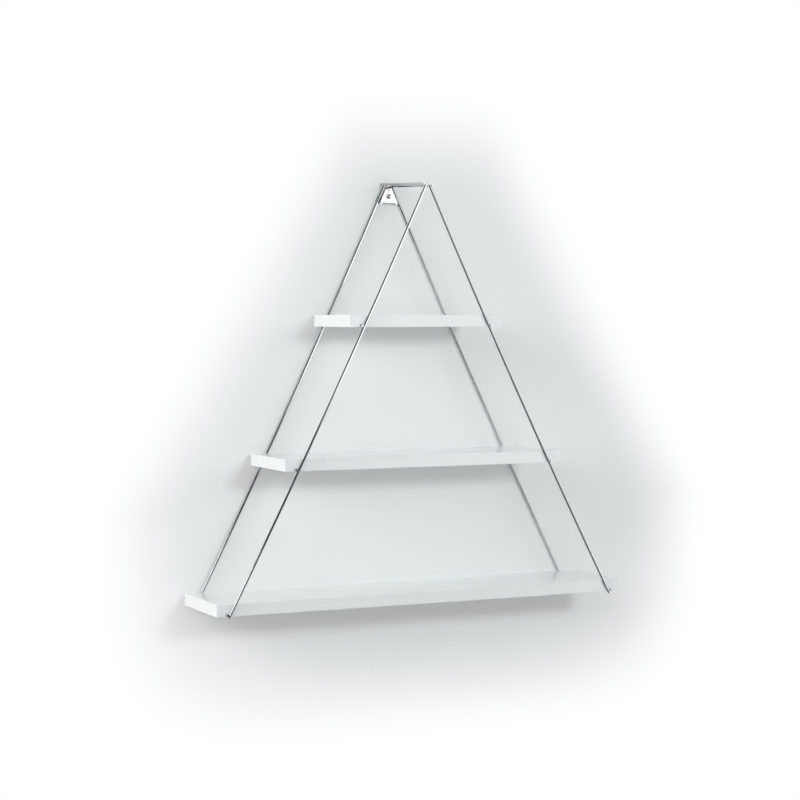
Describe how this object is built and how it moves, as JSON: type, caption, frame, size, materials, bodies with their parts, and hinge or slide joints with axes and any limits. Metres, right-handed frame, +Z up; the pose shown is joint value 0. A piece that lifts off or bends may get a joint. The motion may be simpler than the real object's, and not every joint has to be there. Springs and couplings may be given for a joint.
{
  "type": "triangular wall shelf",
  "caption": "A-shaped wall shelf: white boards of falling length on rungs between chromed wire side frames, hung by a small steel bracket at the rear apex.",
  "frame": {"origin": "on the wall plane, on the axis of the wall screw that carries the shelf at its rear apex", "axes": "+X along the wall to the right seen from the front, +Y into the wall, +Z up"},
  "size_m": [0.6702, 0.1756, 0.6424],
  "materials": {
    "chromed_steel": "bright chrome plating on steel rod and sheet",
    "screw_steel": "bright zinc-plated screw",
    "white_melamine": "white melamine skin, semi-gloss",
    "white_edging": "white plastic edging, semi-gloss",
    "chipboard": "raw chipboard, covered on all faces"
  },
  "bodies": {
    "root": {"front_left_leg": "chromed_steel", "rear_left_leg": "chromed_steel", "bottom_left_rung": "chromed_steel", "middle_left_rung": "chromed_steel", "top_left_rung": "chromed_steel", "crown_left_rung": "chromed_steel", "front_right_leg": "chromed_steel", "rear_right_leg": "chromed_steel", "bottom_right_rung": "chromed_steel", "middle_right_rung": "chromed_steel", "top_right_rung": "chromed_steel", "crown_right_rung": "chromed_steel", "bottom_board_core": "chipboard", "bottom_board_upper_skin": "white_melamine", "bottom_board_lower_skin": "white_melamine", "bottom_board_front_edging": "white_edging", "bottom_board_rear_edging": "white_edging", "bottom_board_left_edging": "white_edging", "bottom_board_right_edging": "white_edging", "middle_board_core": "chipboard", "middle_board_upper_skin": "white_melamine", "middle_board_lower_skin": "white_melamine", "middle_board_front_edging": "white_edging", "middle_board_rear_edging": "white_edging", "middle_board_left_edging": "white_edging", "middle_board_right_edging": "white_edging", "top_board_core": "chipboard", "top_board_upper_skin": "white_melamine", "top_board_lower_skin": "white_melamine", "top_board_front_edging": "white_edging", "top_board_rear_edging": "white_edging", "top_board_left_edging": "white_edging", "top_board_right_edging": "white_edging", "wall_bracket": "chromed_steel", "wall_screw": "screw_steel"}
  },
  "joints": []
}
